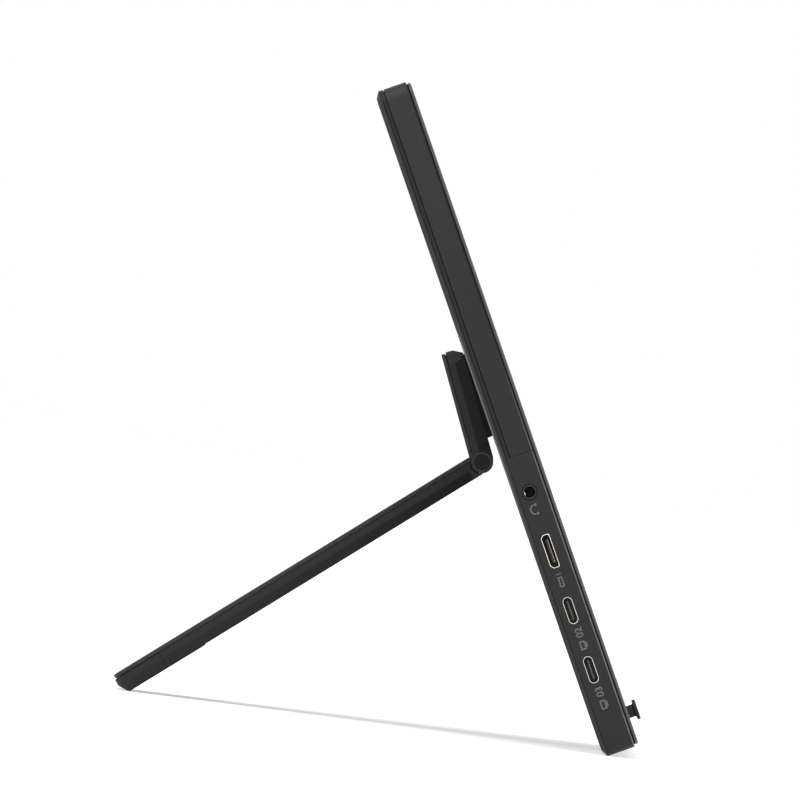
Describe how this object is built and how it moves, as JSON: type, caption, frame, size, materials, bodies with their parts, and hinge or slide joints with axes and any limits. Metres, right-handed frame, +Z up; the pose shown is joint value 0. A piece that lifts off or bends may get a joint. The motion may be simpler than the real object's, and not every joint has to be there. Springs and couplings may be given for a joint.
{
  "type": "portable monitor",
  "caption": "Slim portable monitor that leans on its lower edge and a folding L-shaped stand, which swivels on the back; sockets on one side, small joystick on the chin.",
  "frame": {"origin": "middle of the object's box, on the surface that it stands on", "axes": "+Z up, -Y the way the screen faces, +X to the right of a person who faces the screen"},
  "size_m": [0.357, 0.1696, 0.2049],
  "materials": {
    "case_shell": "fine textured dark grey",
    "frame_side": "satin dark grey",
    "bezel_black": "satin black",
    "screen_glass": "anti-glare, dark when off",
    "guide_acrylic": "clear acrylic with white films",
    "led_tape": "white tape with small lamps",
    "tray_steel": "plain sheet",
    "board_green": "solder mask",
    "ribbon_copper": "polyimide ribbon",
    "chip_black": "moulded",
    "screw_steel": "zinc plated",
    "socket_steel": "bright plated",
    "socket_plastic": "moulded black",
    "contact_brass": "gold plated",
    "joystick_black": "satin black",
    "joystick_parts": "moulded",
    "hub_metal": "die cast",
    "stand_plastic": "fine textured near black",
    "stand_cover": "fine textured dark grey",
    "hinge_steel": "ground",
    "hinge_cap": "satin dark grey",
    "foot_rubber": "matt rubber"
  },
  "bodies": {
    "case": {"rear_cover": "case_shell", "mid_frame": "frame_side", "socket_side_piece": "frame_side", "front_bezel": "bezel_black", "lcd_glass": "screen_glass", "light_guide": "guide_acrylic", "led_strip": "led_tape", "panel_tray": "tray_steel", "panel_driver_board": "board_green", "panel_ribbon": "ribbon_copper", "main_board": "board_green", "board_chips": "chip_black", "chip_shield": "tray_steel", "board_screws": "screw_steel", "usb_c_shell_1": "socket_steel", "usb_c_shell_2": "socket_steel", "usb_c_tongues": "socket_plastic", "hdmi_shell": "socket_steel", "hdmi_tongue": "socket_plastic", "headphone_socket": "socket_plastic", "headphone_contacts": "contact_brass", "joystick_board": "board_green", "joystick_cable": "chip_black", "joystick_housing": "joystick_parts", "joystick_dome": "screw_steel", "swivel_bushing": "hub_metal", "swivel_stops": "screw_steel"},
    "stand_base": {"stand_base_body": "stand_plastic", "stand_base_cover": "stand_cover", "swivel_hub": "stand_plastic", "swivel_washer": "screw_steel", "swivel_retainer": "hub_metal", "hub_screws": "screw_steel", "hinge_pins": "hinge_steel", "hinge_end_caps": "hinge_cap"},
    "leg": {"leg_body": "stand_plastic", "leg_cover": "stand_cover", "leg_foot": "foot_rubber", "friction_sleeves": "hinge_steel"},
    "joystick_gimbal": {"joystick_cradle": "joystick_parts"},
    "joystick_lever": {"joystick_rocker": "joystick_parts"},
    "joystick_button": {"joystick_stem": "joystick_parts", "joystick_cap": "joystick_black"}
  },
  "joints": [
    {"name": "stand_swivel", "type": "hinge", "parent": "case", "child": "stand_base", "pos_m": [0, -0.02065, 0.10835], "axis": [0, 0.8965, -0.4431], "range_deg": [-90, 90]},
    {"name": "leg_hinge", "type": "hinge", "parent": "stand_base", "child": "leg", "pos_m": [0, -0.02423, 0.08758], "axis": [1, 0, 0], "range_deg": [-77, 1.5]},
    {"name": "joystick_up_down", "type": "hinge", "parent": "case", "child": "joystick_gimbal", "pos_m": [-0.15, -0.07629, 0.01247], "axis": [1, 0, 0], "range_deg": [-6, 6], "stiffness_Nm_per_rad": 0.1},
    {"name": "joystick_left_right", "type": "hinge", "parent": "joystick_gimbal", "child": "joystick_lever", "pos_m": [-0.15, -0.07629, 0.01247], "axis": [0, 0.4431, 0.8965], "range_deg": [-6, 6], "stiffness_Nm_per_rad": 0.1},
    {"name": "joystick_press", "type": "slide", "parent": "joystick_lever", "child": "joystick_button", "axis": [0, 0.8965, -0.4431], "range_m": [0, 0.0005], "stiffness_N_per_m": 3000}
  ]
}
